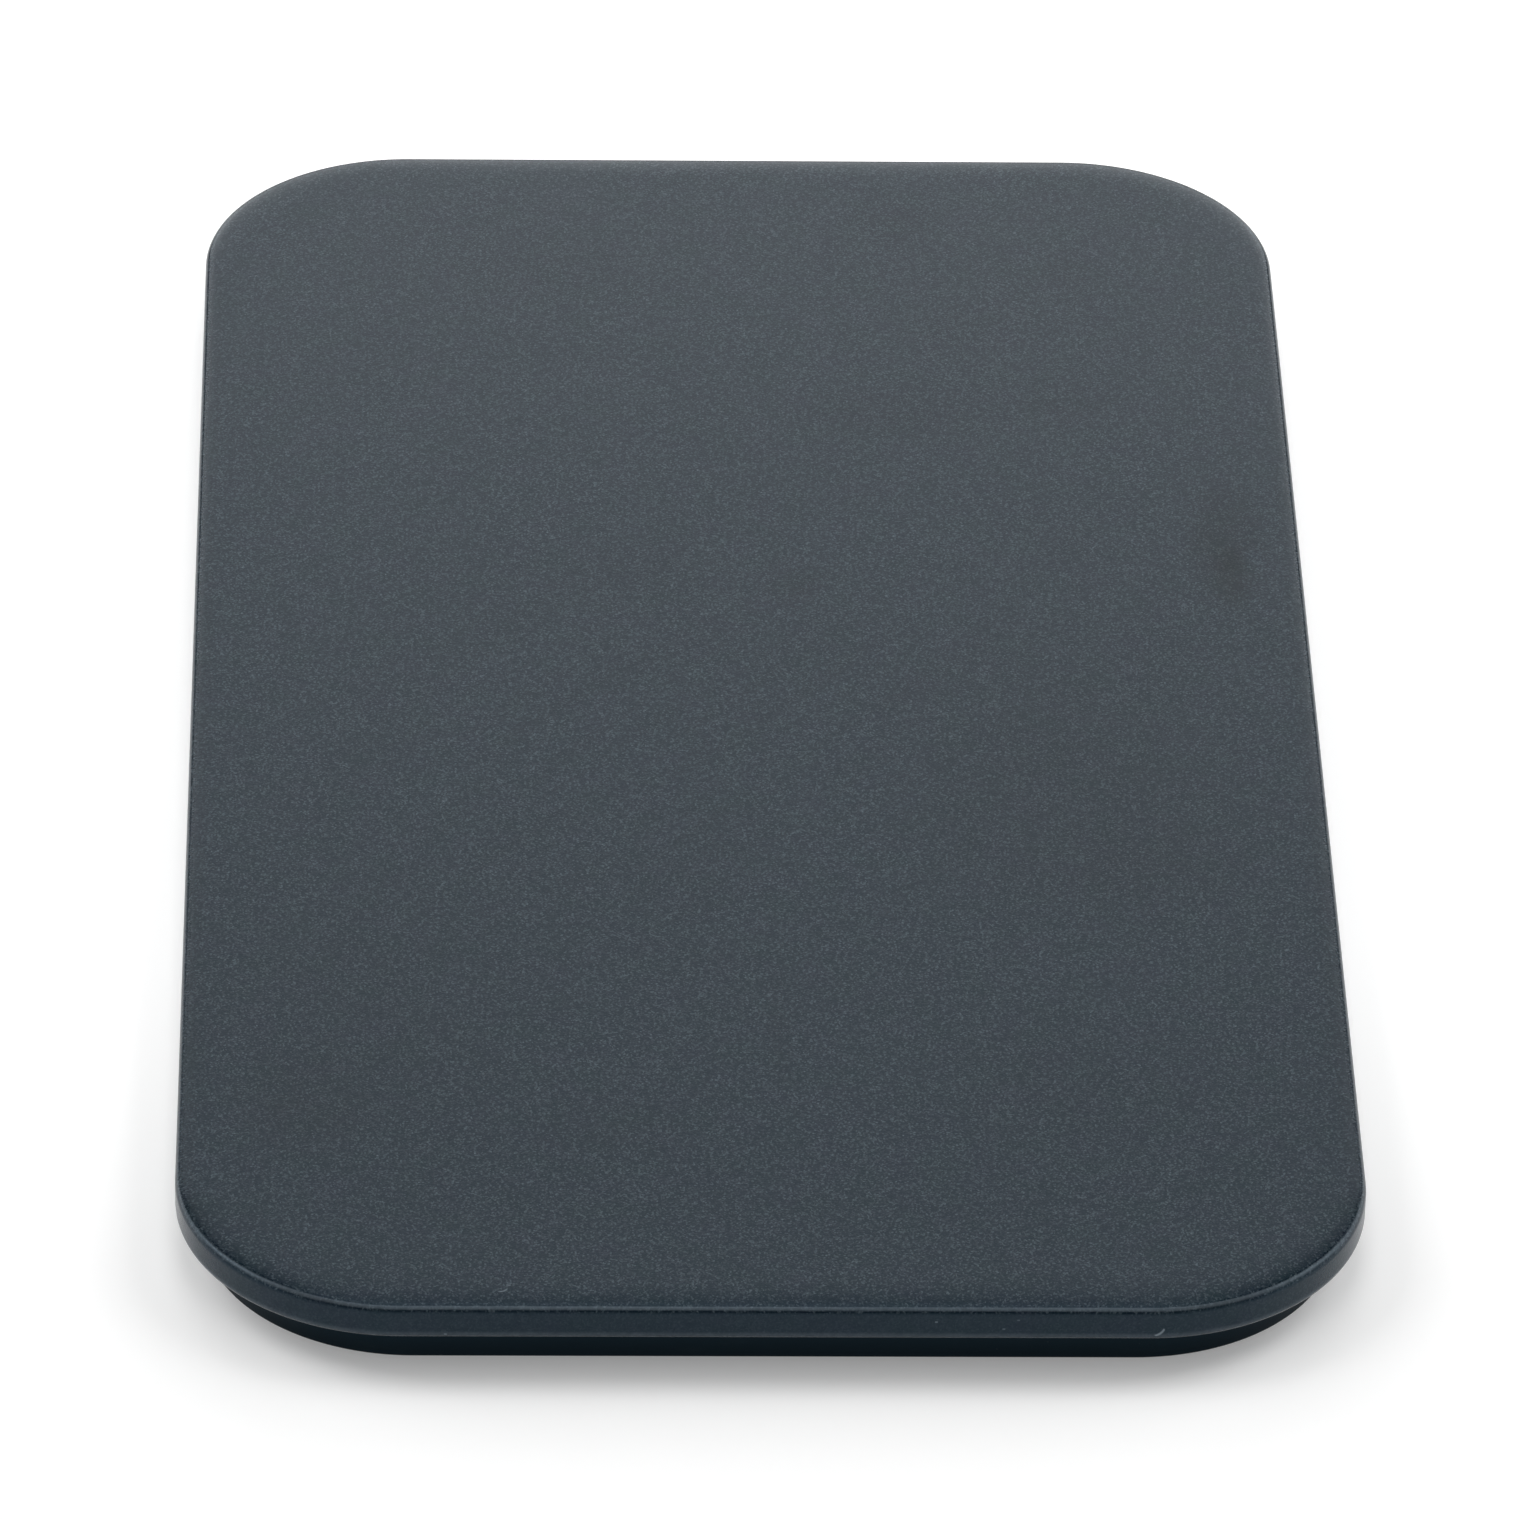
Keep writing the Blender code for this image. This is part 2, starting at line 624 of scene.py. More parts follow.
    def stone(self, g: Graph, level: Value, grain: Value, wall: Value) -> bpy.types.NodeSocket:
        """Works out the clean stone's colour: an even tone with a fine grain of crystals in it.

        Args:
            g: The graph that it is worked out in.
            level: How light the stone is.
            grain: Its cloudy grain.
            wall: Where its wall is, which has a calmer grain.

        Returns:
            The colour's socket.
        """
        even = g.tint(self.tone, level, self.hue_shift, g.noise(self.hue))
        cloudy = g.math("MULTIPLY", g.total(grain, g.noise(self.grit)), self.grain_power)
        power = self.crystal_power
        sharp = g.math("MULTIPLY_ADD", g.crystals(self.crystal_size), power, -0.5 * power)
        speckle = g.math("POWER", math.e, g.math("ADD", cloudy, sharp))
        speckle = g.math("POWER", speckle, g.math("MULTIPLY_ADD", wall, -self.wall_calm, 1.0))
        grains = g.vector("SCALE", self.grain_tone, g.math("MULTIPLY", level, speckle))
        return g.vector("ADD", even, grains)

    def lint(self, g: Graph, fibres: tuple[Fibre, ...]) -> bpy.types.NodeSocket:
        """Works out how much lint and loose dust covers the stone.

        Args:
            g: The graph that it is worked out in.
            fibres: The fibres and specks.

        Returns:
            The cover's socket.
        """
        pale_cover = g.math("MULTIPLY", g.specks(self.motes), self.mote_level)
        for fibre in fibres:
            pale_cover = g.math("MULTIPLY_ADD", g.fibre(fibre), fibre.level, pale_cover)
        return pale_cover

    def rim_highlights(self, g: Graph, rim: Rim, inset: Value, wall: Value) -> bpy.types.NodeSocket:
        """Works out the rim's painted highlights, on the upper arris at the near end and on the
        foot, and the wall's lightening, partly a paler ground edge and partly painted reflection.

        Args:
            g: The graph that it is worked out in.
            rim: Where the slab's rim lies.
            inset: How far in from the slab's edge a point lies.
            wall: Where its wall is.

        Returns:
            The socket of the painted highlights and the wall's lightening.
        """
        parts = g.add("SeparateXYZ", {"Vector": g.place}).outputs
        height = parts["Z"]
        # painted highlight on the upper arris, full along the near end and fading out past it
        near_end = g.fade(parts["Y"], *(reach - rim.half_length for reach in self.arris_highlight_end))
        # painted highlight on the lower round, all round the slab
        foot = g.fade(height, *(rim.under + part * rim.lower_round for part in self.foot_fade))
        upper = g.math("GREATER_THAN", height, rim.top - 2 * rim.upper_round)
        arris = g.near(inset, self.arris_centre * rim.upper_round, *self.arris_fade)
        arris = g.math("MULTIPLY", g.math("MULTIPLY", arris, upper), near_end)
        lightened = g.total(
            g.math("MULTIPLY", arris, self.arris_highlight),
            g.math("MULTIPLY", foot, self.foot_highlight),
            g.math("MULTIPLY", wall, self.wall_wear_and_reflection),
        )
        broken = g.math("MULTIPLY_ADD", g.noise(self.broken), self.broken_level, 1.0)
        return g.math("MULTIPLY", lightened, broken)


@dataclass(frozen=True)
class MouldedSilicone:
    """Near-black silicone rubber with a satin skin that draws dust."""

    tone: Colour = (0.0020, 0.0036, 0.0050)
    dust: Colour = (0.10, 0.11, 0.12)
    sheen_tint: Colour = (0.35, 0.72, 1.0)
    glass_index: float = 1.32
    roughness: float = 0.42
    clouds: Cloud = Cloud(9 * MM)
    cloud_level: float = 0.15
    skin: Cloud = Cloud(0.18 * MM, 1.0)
    skin_level: float = 0.25
    skin_rough: float = 0.06
    skin_depth: float = 0.003 * MM
    bloom: Cloud = Cloud(2.5 * MM, 3.0, 0.6, (2.5, 2.5, 0.6))
    bloom_fade: tuple[float, float] = (0.7, 0.1)
    bloom_level: float = 0.03
    motes: Scatter = Scatter(0.85 * MM, 0.13, 0.16, 5.3)
    mote_level: float = 0.22
    lint: Scatter = Scatter(2.6 * MM, 0.06, 0.20, 9.1)
    lint_level: float = 0.8
    dust_rough: float = 0.3

    def material(self) -> bpy.types.Material:
        """Makes the rubber's material.

        Returns:
            The material.
        """
        g = Graph(Slot.RUBBER.value)
        skin = g.noise(self.skin)
        lint = g.specks(self.lint)
        level = g.total(
            1.0,
            g.math("MULTIPLY", g.noise(self.clouds), self.cloud_level),
            g.math("MULTIPLY", skin, self.skin_level),
        )
        bloom = g.fade(g.noise(self.bloom), *self.bloom_fade)
        pale_cover = g.total(
            g.math("MULTIPLY", g.specks(self.motes), self.mote_level),
            g.math("MULTIPLY", lint, self.lint_level),
            g.math("MULTIPLY", bloom, self.bloom_level),
        )
        rough = g.total(
            self.roughness,
            g.math("MULTIPLY", skin, self.skin_rough),
            g.math("MULTIPLY", pale_cover, self.dust_rough),
        )
        g.dress({
            "Base Color": g.mix(g.vector("SCALE", self.tone, level), self.dust, pale_cover),
            "Roughness": rough,
            "IOR": self.glass_index,
            "Specular Tint": self.sheen_tint,
            "Normal": g.bump(g.total(skin, lint), self.skin_depth),
        })
        return g.material


@dataclass(frozen=True)
class AdhesiveFilm:
    """A milky double-sided adhesive on a foam carrier with a fine cell."""

    tone: Colour = (0.30, 0.29, 0.26)
    hue_shift: Colour = (0.03, 0.02, -0.01)
    roughness: float = 0.40
    clouds: Cloud = Cloud(6 * MM)
    cloud_level: float = 0.08
    cloud_rough: float = 0.08
    cells: Scatter = Scatter(0.35 * MM, 0.5, 1.0, 2.2)
    cell_level: float = -0.12
    cell_depth: float = 0.02 * MM

    def material(self) -> bpy.types.Material:
        """Makes the adhesive's material.

        Returns:
            The material.
        """
        g = Graph(Slot.ADHESIVE.value)
        cells = g.specks(self.cells)
        clouds = g.noise(self.clouds)
        level = g.total(
            1.0,
            g.math("MULTIPLY", clouds, self.cloud_level),
            g.math("MULTIPLY", cells, self.cell_level),
        )
        g.dress({
            "Base Color": g.tint(self.tone, level, self.hue_shift, clouds),
            "Roughness": g.math("MULTIPLY_ADD", clouds, self.cloud_rough, self.roughness),
            "Normal": g.bump(cells, self.cell_depth),
        })
        return g.material


@dataclass(frozen=True)
class PaperSweep:
    """The matt white paper that the stone stands on.

    It glows evenly so that it stays white, and glows more towards its back: that is painted light,
    which lifts the shade beside the stone.
    """

    tone: Colour = (0.85, 0.85, 0.85)
    roughness: float = 0.9
    sheen_level: float = 0.1
    fibres: Cloud = Cloud(0.5 * MM, 3.0, 0.6)
    fibre_level: float = 0.03
    light: Colour = (1.0, 1.0, 1.0)
    glow: float = 0.19
    back_glow: float = 0.18
    back_fade: tuple[float, float] = (-20.0 * MM, -100.0 * MM)

    def material(self) -> bpy.types.Material:
        """Makes the paper's material.

        Returns:
            The material.
        """
        g = Graph("paper_sweep")
        level = g.math("MULTIPLY_ADD", g.noise(self.fibres), self.fibre_level, 1.0)
        along = g.add("SeparateXYZ", {"Vector": g.place}).outputs["Y"]
        # painted light: the paper glows more towards its back, lifting the shade beside the stone
        behind = g.fade(along, *self.back_fade)
        g.dress({
            "Base Color": g.vector("SCALE", self.tone, level),
            "Roughness": self.roughness,
            "Specular IOR Level": self.sheen_level,
            "Emission Color": self.light,
            "Emission Strength": g.math("MULTIPLY_ADD", behind, self.back_glow, self.glow),
        })
        return g.material


def mark(x: float, y: float, wide: float, long: float, level: float, edge: float = 0.8) -> Smudge:
    """Returns a smudge whose place and half widths are given in millimetres."""
    return Smudge((x * MM, y * MM), (wide * MM, long * MM), level, edge)


HAND_MARKS = (
    mark(43.3, 24.5, 3.2, 9.5, -0.26, 0.45),
    mark(43.4, 20.0, 1.3, 4.0, -0.28),
    mark(45.6, 22.0, 0.8, 1.6, 0.30),
    mark(14.6, 80.5, 3.6, 3.2, -0.12),
    mark(30.5, 72.0, 1.7, 2.4, -0.14),
    mark(19.0, 61.5, 4.5, 4.0, -0.07),
    mark(13.4, 46.7, 7.0, 3.6, -0.13),
    mark(30.0, 48.0, 3.8, 3.2, -0.12),
    mark(28.4, 25.5, 2.4, 2.8, -0.07),
    mark(3.8, 18.0, 2.4, 3.4, -0.16),
    mark(-11.0, 20.0, 6.0, 4.0, -0.06),
    mark(29.0, -15.5, 13.0, 16.0, -0.12, 0.7),
    mark(33.0, -27.0, 6.5, 4.5, -0.09),
    mark(-39.7, -64.0, 5.0, 5.5, -0.15),
    mark(-37.0, -47.0, 11.0, 17.0, -0.07),
    mark(-13.5, -67.0, 4.5, 4.0, -0.08),
    mark(25.0, -62.0, 8.0, 7.0, -0.05),
    mark(-16.6, 71.7, 8.5, 4.5, -0.05),
    mark(1.0, -53.0, 0.9, 7.5, -0.09),
)


# --- Shapes -------------------------------------------------------------------------------


@dataclass(frozen=True)
class Outline:
    """A rectangle with round corners, centred on the Z axis, that can be drawn inwards."""

    half_width: float
    half_length: float
    corner: float
    width_steps: int = 32
    length_steps: int = 58
    corner_steps: int = 36

    @property
    def core(self) -> tuple[float, float]:
        """Half the width and length of the rectangle that joins the corner centres."""
        return self.half_width - self.corner, self.half_length - self.corner

    def walk(self) -> list[tuple[tuple[int, int], float]]:
        """Lists the points round the outline, anticlockwise from the right side's near end.

        Returns:
            For each point, the core's grid point that it faces, and the angle it faces at.
        """
        wide, long = self.width_steps, self.length_steps
        sides = (
            [(wide, j) for j in range(long + 1)],
            [(i, long) for i in range(wide, -1, -1)],
            [(0, j) for j in range(long, -1, -1)],
            [(i, 0) for i in range(wide + 1)],
        )
        points = []
        for turn, side in enumerate(sides):
            start = turn * math.pi / 2
            points += [(place, start) for place in side]
            for step in range(1, self.corner_steps):
                points.append((side[-1], start + step / self.corner_steps * math.pi / 2))
        return points

    def grid(self) -> np.ndarray:
        """Returns X and Y of the core's grid points, by column and row."""
        wide, long = self.core
        x = np.linspace(-wide, wide, self.width_steps + 1)
        y = np.linspace(-long, long, self.length_steps + 1)
        return np.stack(np.meshgrid(x, y, indexing="ij"), axis=-1)


def plate_mesh(name: str, outline: Outline, profile: Profile) -> bpy.types.Mesh:
    """Makes a closed plate whose surface follows a profile all the way round an outline.

    Args:
        name: The mesh's name.
        outline: The plate's outline.
        profile: How far in from the outline, and how high, the surface is at each of its
            rings, from the upper face's core over the edge to the lower face's.

    Returns:
        The mesh, with outward faces and smooth shading.
    """
    grid = outline.grid()
    columns, rows = grid.shape[:2]
    walk = outline.walk()
    count = len(walk)
    angles = np.array([angle for _, angle in walk])
    facing = np.stack([np.cos(angles), np.sin(angles)], axis=-1)
    roots = np.array([grid[place] for place, _ in walk])

    def core_index(start: int, place: tuple[int, int]) -> int:
        """Returns the number of a core grid point in the list that begins at start."""
        return start + place[0] * rows + place[1]

    heights = (profile[0][1], profile[-1][1])
    cores = [np.column_stack([grid.reshape(-1, 2), np.full(columns * rows, z)]) for z in heights]
    rings = [
        np.column_stack([roots + facing * (outline.corner - inset), np.full(count, z)])
        for inset, z in profile[1:-1]
    ]
    vertices = np.vstack([cores[0], *rings, cores[1]])
    first_ring = columns * rows
    last_core = first_ring + count * len(rings)

    faces = []
    for start, upward in ((0, True), (last_core, False)):
        for i in range(columns - 1):
            for j in range(rows - 1):
                places = [(i, j), (i + 1, j), (i + 1, j + 1), (i, j + 1)]
                face = [core_index(start, place) for place in places]
                faces.append(face if upward else face[::-1])
    for ring in range(len(rings) - 1):
        inner = first_ring + ring * count
        outer = inner + count
        for k in range(count):
            n = (k + 1) % count
            faces.append([inner + k, outer + k, outer + n, inner + n])
    for start, ring, upward in ((0, 0, True), (last_core, len(rings) - 1, False)):
        edge = first_ring + ring * count
        for k in range(count):
            n = (k + 1) % count
            a, b = core_index(start, walk[k][0]), core_index(start, walk[n][0])
            face = [a, edge + k, edge + n] if a == b else [a, edge + k, edge + n, b]
            faces.append(face if upward else face[::-1])

    mesh = bpy.data.meshes.new(name)
    mesh.from_pydata(vertices.tolist(), [], faces)
    mesh.validate()
    mesh.shade_smooth()
    return mesh


def place_piece(name: str, mesh: bpy.types.Mesh, material: bpy.types.Material) -> bpy.types.Object:
    """Puts a mesh into the scene as a piece of the stone.

    Args:
        name: The piece's name.
        mesh: Its mesh, already in place.
        material: Its material.

    Returns:
        The piece's object.
    """
    mesh.materials.append(material)
    piece = bpy.data.objects.new(name, mesh)
    bpy.context.scene.collection.objects.link(piece)
    return piece


def quarter_turn(steps: int) -> list[float]:
    """Returns the angles that cut a quarter circle into even steps, ends and all."""
    return [step / steps * math.pi / 2 for step in range(steps + 1)]


# --- Sub-assemblies -----------------------------------------------------------------------


@dataclass
class StoneSlab:
    """The honed slab. Hand honing has let its working face fall away a little at the rim.

    Its rings are given as parts of the corner radius on its two faces, and of its height on
    its wall.
    """

    low: Vector
    high: Vector
    corner: float = 19.0 * MM
    upper_round: float = 0.42 * MM
    lower_round: float = 0.8 * MM
    fall_depth: float = 0.40 * MM
    fall_reach: float = 0.85 * MM
    fibre_width: float = 0.13 * MM
    round_steps: int = 14
    face_rings: tuple[float, ...] = (
        0.75, 0.55, 0.42, 0.32, 0.25, 0.20, 0.16, 0.13, 0.105, 0.085, 0.068, 0.055,
    )
    wall_rings: tuple[float, ...] = (0.25, 0.5, 0.75)
    under_rings: tuple[float, ...] = (0.08, 0.2, 0.45, 0.75, 1.0)
    finish: HonedBasalt = field(default_factory=HonedBasalt)
    smudges: tuple[Smudge, ...] = HAND_MARKS

    def outline(self) -> Outline:
        """Returns the slab's outline."""
        return Outline(self.high.x, self.high.y, self.corner)

    def fall(self, inset: float) -> float:
        """Returns how far the working face has fallen at a distance in from the edge."""
        return self.fall_depth * math.exp(-inset / self.fall_reach)

    def profile(self) -> Profile:
        """Lists the rings from the middle of the working face over the rim to the underside.

        Returns:
            Each ring's inset and height.
        """
        top, under = self.high.z, self.low.z
        points = [(self.corner, top)]
        for part in self.face_rings:
            inset = self.corner * part
            points.append((inset, top - self.fall(inset)))
        for angle in quarter_turn(self.round_steps):
            inset = self.upper_round * (1 - math.sin(angle))
            drop = self.upper_round * (1 - math.cos(angle))
            points.append((inset, top - drop - self.fall(inset)))
        wall_top = top - self.upper_round - self.fall_depth
        wall_foot = under + self.lower_round
        points += [(0.0, wall_top + (wall_foot - wall_top) * part) for part in self.wall_rings]
        for angle in quarter_turn(self.round_steps):
            inset = self.lower_round * (1 - math.cos(angle))
            points.append((inset, wall_foot - self.lower_round * math.sin(angle)))
        points += [(self.corner * part, under) for part in self.under_rings]
        return points

    def on_face(self, x: float, inset: float, **shape: float | Place) -> Fibre:
        """Lays a fibre on the near end of the working face.

        Args:
            x: Its place across the slab in metres.
            inset: How far in from the near edge it lies.
            shape: Its other values.

        Returns:
            The fibre.
        """
        place = (x, self.low.y + inset, self.high.z - self.fall(inset))
        return Fibre(place, side=(0.0, 1.0, 0.0), width=self.fibre_width, **shape)

    def on_wall(self, x: float, rise: float, **shape: float | Place) -> Fibre:
        """Hangs a fibre or a speck on the slab's near wall.

        Args:
            x: Its place across the slab in metres.
            rise: How high it is over the middle of the wall's lower round.
            shape: Its other values.

        Returns:
            The fibre.
        """
        return Fibre((x, self.low.y, self.low.z + 0.5 * self.lower_round + rise), **shape)

    def lint(self) -> tuple[Fibre, ...]:
        """Lists the fibres and specks that lie on the slab, all of them on its near end.

        Returns:
            The fibres.
        """
        return (
            self.on_face(
                -22.5 * MM, 2.3 * MM, direction=(1.0, 0.5, 0.0), length=1.0 * MM, bend=900.0,
                level=0.55,
            ),
            self.on_face(
                -22.1 * MM, 3.1 * MM, direction=(1.0, -0.2, 0.0), length=0.4 * MM, level=0.45
            ),
            self.on_wall(
                31.9 * MM, 0.5 * MM, direction=(0.8, 0.0, 0.7), side=(-0.7, 0.0, 0.8),
                length=1.1 * MM, width=0.15 * MM, bend=450.0, level=0.9,
            ),
            self.on_wall(-27.3 * MM, 0.2 * MM),
            self.on_wall(
                -25.9 * MM, -0.2 * MM, direction=(0.4, 0.0, 1.0), length=0.3 * MM, level=0.7
            ),
            self.on_wall(13.3 * MM, 1.6 * MM),
            self.on_wall(18.9 * MM, 0.9 * MM, level=0.45),
            self.on_wall(20.1 * MM, 1.8 * MM, level=0.35),
        )

    def build(self) -> bpy.types.Object:
        """Builds and dresses the slab.

        Returns:
            The slab's object.
        """
        mesh = plate_mesh("slab", self.outline(), self.profile())
        rim = Rim(
            self.high.x, self.high.y, self.corner, self.upper_round, self.lower_round,
            self.high.z, self.low.z,
        )
        piece = place_piece("slab", mesh, self.finish.material(rim, self.smudges, self.lint()))
        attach(piece, "root")
        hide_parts("stone_slab")
        return piece


@dataclass
class SiliconeBase:
    """The moulded base, whose top has a shallow pocket for the adhesive.

    Its wall leans out by the flare from its lip to its foot. Its rings are given as parts of
    the corner radius on the pocket's floor and the resting face, and of the rim's width on the
    rim and just inside it. The crease is how near the pocket's corners its wall has a ring.
    """

    low: Vector
    high: Vector
    seat: float
    corner: float = 17.4 * MM
    foot_round: float = 0.2 * MM
    flare: float = 0.27 * MM
    rim_width: float = 2.5 * MM
    pocket_floor: float = 2.5 * MM
    lip_round: float = 0.15 * MM
    draft: float = 0.06 * MM
    crease: float = 0.1 * MM
    round_steps: int = 8
    floor_rings: tuple[float, ...] = (1.0, 0.7, 0.4, 0.25)
    inner_rings: tuple[float, ...] = (1.1, 1.0)
    seat_rings: tuple[float, ...] = (1.0, 0.9, 0.5)
    foot_rings: tuple[float, ...] = (0.05, 0.2, 0.45, 0.75, 1.0)
    finish: MouldedSilicone = field(default_factory=MouldedSilicone)

    def outline(self) -> Outline:
        """Returns the base's outline."""
        return Outline(self.high.x, self.high.y, self.corner)

    def profile(self) -> Profile:
        """Lists the rings from the middle of the pocket over the rim to the resting face.

        Returns:
            Each ring's inset and height.
        """
        floor, seat, foot = self.pocket_floor, self.seat, self.low.z
        points = [(self.corner * part, floor) for part in self.floor_rings]
        points += [(self.rim_width * part, floor) for part in self.inner_rings]
        points += [(self.rim_width, floor + self.crease), (self.rim_width, seat - self.crease)]
        points += [(self.rim_width * part, seat) for part in self.seat_rings]
        for angle in quarter_turn(self.round_steps):
            inset = self.draft + self.lip_round * (1 - math.sin(angle))
            points.append((inset, seat - self.lip_round * (1 - math.cos(angle))))
        points.append(((self.draft - self.flare) * 0.5, (seat + foot) / 2))
        for angle in quarter_turn(self.round_steps):
            inset = self.foot_round * (1 - math.cos(angle)) - self.flare
            points.append((inset, foot + self.foot_round * (1 - math.sin(angle))))
        points += [(self.corner * part, foot) for part in self.foot_rings]
        return points

    def build(self) -> bpy.types.Object:
        """Builds and dresses the base.

        Returns:
            The base's object.
        """
        mesh = plate_mesh("base", self.outline(), self.profile())
        piece = place_piece("base", mesh, self.finish.material())
        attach(piece, "root")
        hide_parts("silicone_base")
        return piece


@dataclass
class AdhesiveSheet:
    """The die-cut sheet of adhesive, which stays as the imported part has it."""

    node: bpy.types.Object
    finish: AdhesiveFilm = field(default_factory=AdhesiveFilm)

    def build(self) -> bpy.types.Object:
        """Dresses the sheet.

        Returns:
            The sheet's object.
        """
        material = self.finish.material()
        for slot in self.node.material_slots:
            slot.material = material
        return self.node


# --- Studio -------------------------------------------------------------------------------


@dataclass(frozen=True)
class SoftBox:
    """A rectangular studio light with a diffuser, which faces the stone.

    Its azimuth is in degrees clockwise from straight behind the stone, and its spans are the
    degrees that it takes up across and upwards, as the stone sees it.
    """

    name: str
    azimuth: float
    elevation: float
    across: float
    upwards: float
    brightness: float
    distance: float = 1.8

    def size(self, span: float) -> float:
        """Returns the length that takes up a span of degrees at the light's distance."""
        return 2 * self.distance * math.tan(math.radians(span / 2))

    def build(self) -> bpy.types.Object:
        """Hangs the light.

        Returns:
            The light's object.
        """
        turn, rise = math.radians(self.azimuth), math.radians(self.elevation)
        flat = math.cos(rise)
        outward = Vector((math.sin(turn) * flat, math.cos(turn) * flat, math.sin(rise)))
        light = bpy.data.lights.new(self.name, "AREA")
        light.shape = "RECTANGLE"
        light.size = self.size(self.across) * max(flat, LEAST_FLAT)
        light.size_y = self.size(self.upwards)
        light.energy = self.brightness * math.pi * light.size * light.size_y
        lamp = bpy.data.objects.new(self.name, light)
        lamp.location = outward * self.distance
        lamp.rotation_euler = (-outward).to_track_quat("-Z", "Y").to_euler()
        bpy.context.scene.collection.objects.link(lamp)
        return lamp


@dataclass(frozen=True)
class Viewpoint:
    """Where the camera stands and how it is turned, in metres and degrees.

    Its lens and sensor are in millimetres.
    """

    position: Place = (-0.02852, -0.90944, 0.60648)
    down: float = 33.707
    right: float = 1.837
    tilt: float = 1.252
    lens: float = 290.34
    sensor: float = 36.0
    nearest: float = 0.05
    farthest: float = 50.0

    def build(self) -> bpy.types.Object:
        """Sets up the camera.

        Returns:
            The camera's object.
        """
        data = bpy.data.cameras.new("camera")
        data.sensor_width = self.sensor
        data.lens = self.lens
        data.clip_start = self.nearest
        data.clip_end = self.farthest
        camera = bpy.data.objects.new("camera", data)
        heading = Matrix.Rotation(-math.radians(self.right), 4, "Z")
        pitch = Matrix.Rotation(math.radians(90 - self.down), 4, "X")
        roll = Matrix.Rotation(math.radians(self.tilt), 4, "Z")
        camera.matrix_world = Matrix.Translation(self.position) @ heading @ pitch @ roll
        bpy.context.scene.collection.objects.link(camera)
        bpy.context.scene.camera = camera
        return camera


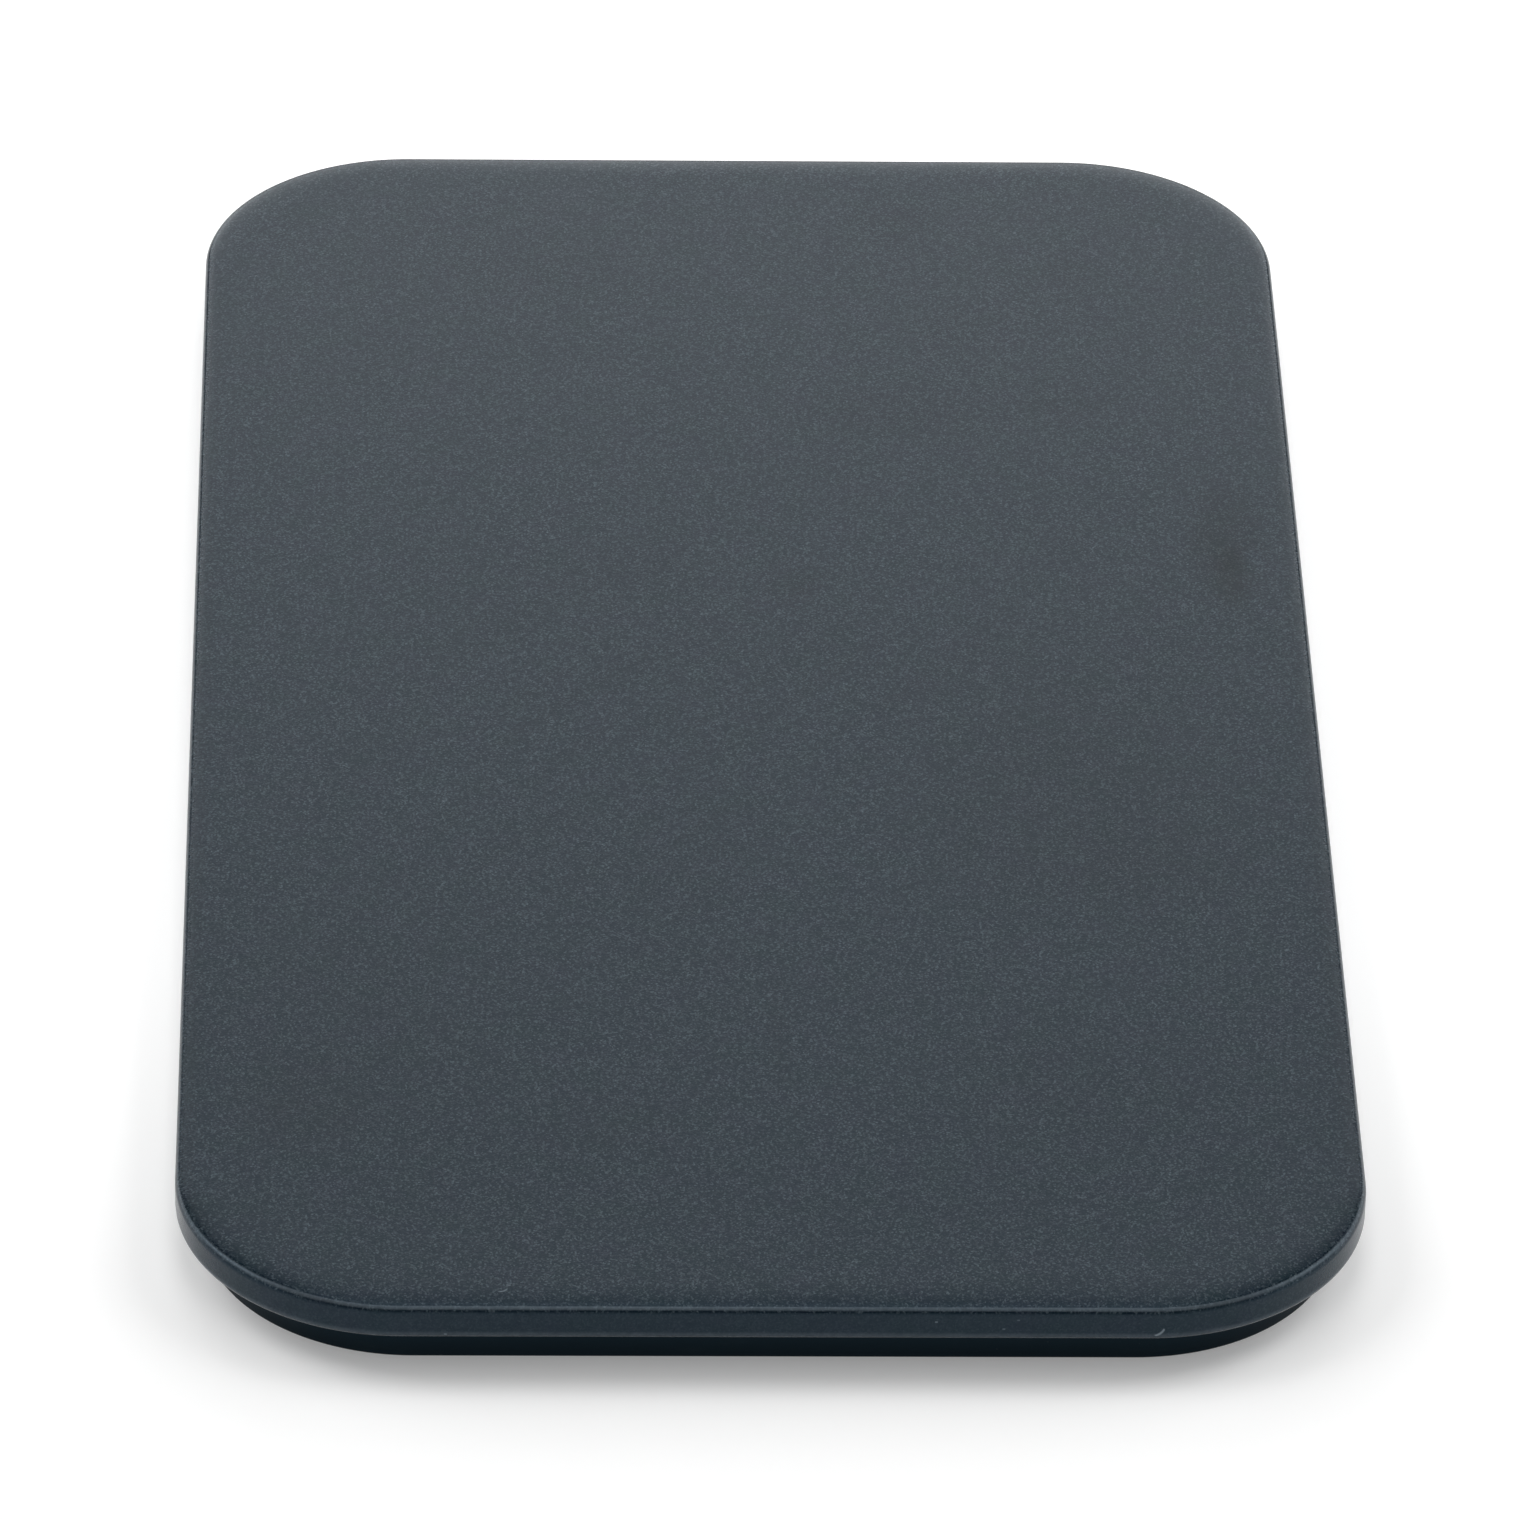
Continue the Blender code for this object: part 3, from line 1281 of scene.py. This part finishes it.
@dataclass
class Studio:
    """The paper floor, the lights, the room's own light and the camera.

    The room's light goes from the horizon's to the faint one of the rest over the horizon's
    fade, which is given in sines of the elevation.
    """

    floor_radius: float = 1.2
    floor_steps: int = 96
    room_colour: Colour = (1.0, 1.0, 1.0)
    room_light: float = 0.01
    horizon_light: float = 0.75
    horizon_fade: tuple[float, float] = (0.03, 0.12)
    paper: PaperSweep = field(default_factory=PaperSweep)
    viewpoint: Viewpoint = field(default_factory=Viewpoint)
    lights: tuple[SoftBox, ...] = (
        SoftBox("overhead", 180.0, 90.0, 60.0, 24.0, 1.8),
        SoftBox("overhead_front", 180.0, 70.0, 60.0, 16.0, 1.4),
        SoftBox("overhead_back", 0.0, 70.0, 60.0, 16.0, 2.35),
        SoftBox("fill_front", 180.0, 55.0, 60.0, 14.0, 0.85),
        SoftBox("fill_back", 0.0, 54.0, 22.0, 15.0, 2.5),
        SoftBox("back_low", 0.0, 18.0, 48.0, 12.0, 4.6),
        SoftBox("back_mid", 0.0, 30.0, 60.0, 12.0, 1.15),
        SoftBox("back_left", -58.0, 19.0, 40.0, 34.0, 2.9),
        SoftBox("back_right", 58.0, 19.0, 40.0, 34.0, 2.8),
        SoftBox("back_left_high", -70.0, 48.0, 36.0, 26.0, 4.2),
        SoftBox("back_right_high", 70.0, 48.0, 36.0, 26.0, 4.1),
        SoftBox("left_mid", -104.0, 28.0, 30.0, 20.0, 1.1),
        SoftBox("right_mid", 104.0, 28.0, 30.0, 20.0, 1.1),
        SoftBox("left_low", -97.5, 9.0, 45.0, 18.0, 0.95),
        SoftBox("right_low", 97.5, 9.0, 45.0, 18.0, 1.15),
        SoftBox("front_low", 180.0, 12.5, 60.0, 15.0, 0.55),
        SoftBox("front_left", -135.0, 16.0, 44.0, 20.0, 0.6),
        SoftBox("front_right", 135.0, 16.0, 44.0, 20.0, 0.6),
    )

    def floor(self, level: float) -> bpy.types.Object:
        """Lays the paper as a large disc.

        Args:
            level: The height of its surface.

        Returns:
            The floor's object.
        """
        steps, radius = self.floor_steps, self.floor_radius
        angles = [step / steps * math.tau for step in range(steps)]
        rim = [(radius * math.cos(angle), radius * math.sin(angle), level) for angle in angles]
        mesh = bpy.data.meshes.new("floor")
        mesh.from_pydata(rim, [], [tuple(range(steps))])
        floor = place_piece("floor", mesh, self.paper.material())
        return floor

    def room(self) -> None:
        """Lights the room faintly, and brightly along the horizon."""
        world = bpy.data.worlds.new("room")
        bpy.context.scene.world = world
        world.use_nodes = True
        tree = world.node_tree
        background = tree.nodes["Background"]
        background.inputs["Color"].default_value = (*self.room_colour, 1.0)
        place = tree.nodes.new("ShaderNodeTexCoord")
        parts = tree.nodes.new("ShaderNodeSeparateXYZ")
        band = tree.nodes.new("ShaderNodeMapRange")
        band.interpolation_type = "SMOOTHSTEP"
        ends = (*self.horizon_fade, self.horizon_light, self.room_light)
        for key, value in zip(("From Min", "From Max", "To Min", "To Max"), ends):
            band.inputs[key].default_value = value
        tree.links.new(place.outputs["Generated"], parts.inputs[0])
        tree.links.new(parts.outputs["Z"], band.inputs["Value"])
        tree.links.new(band.outputs["Result"], background.inputs["Strength"])

    def build(self, level: float) -> None:
        """Sets up everything round the stone.

        Args:
            level: The height that the stone stands on.
        """
        self.floor(level)
        self.room()
        for light in self.lights:
            light.build()
        self.viewpoint.build()
        view = bpy.context.scene.view_settings
        view.view_transform = "Standard"
        view.look = "None"


def main() -> None:
    """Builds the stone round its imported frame, and the studio round the stone."""
    logging.basicConfig(level=logging.INFO, format="%(name)s: %(message)s")
    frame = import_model()
    slab_low, slab_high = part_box("stone_slab")
    base_low, base_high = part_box("silicone_base")

    slab = StoneSlab(slab_low, slab_high)
    base = SiliconeBase(base_low, base_high, seat=slab_low.z)
    adhesive = AdhesiveSheet(frame["nodes"]["adhesive_sheet"])
    for assembly in (base, adhesive, slab):
        piece = assembly.build()
        faces = len(piece.data.polygons)
        LOG.info("%s: %s, %d faces", type(assembly).__name__, piece.name, faces)

    Studio().build(base_low.z)


if __name__ == "__main__":
    main()
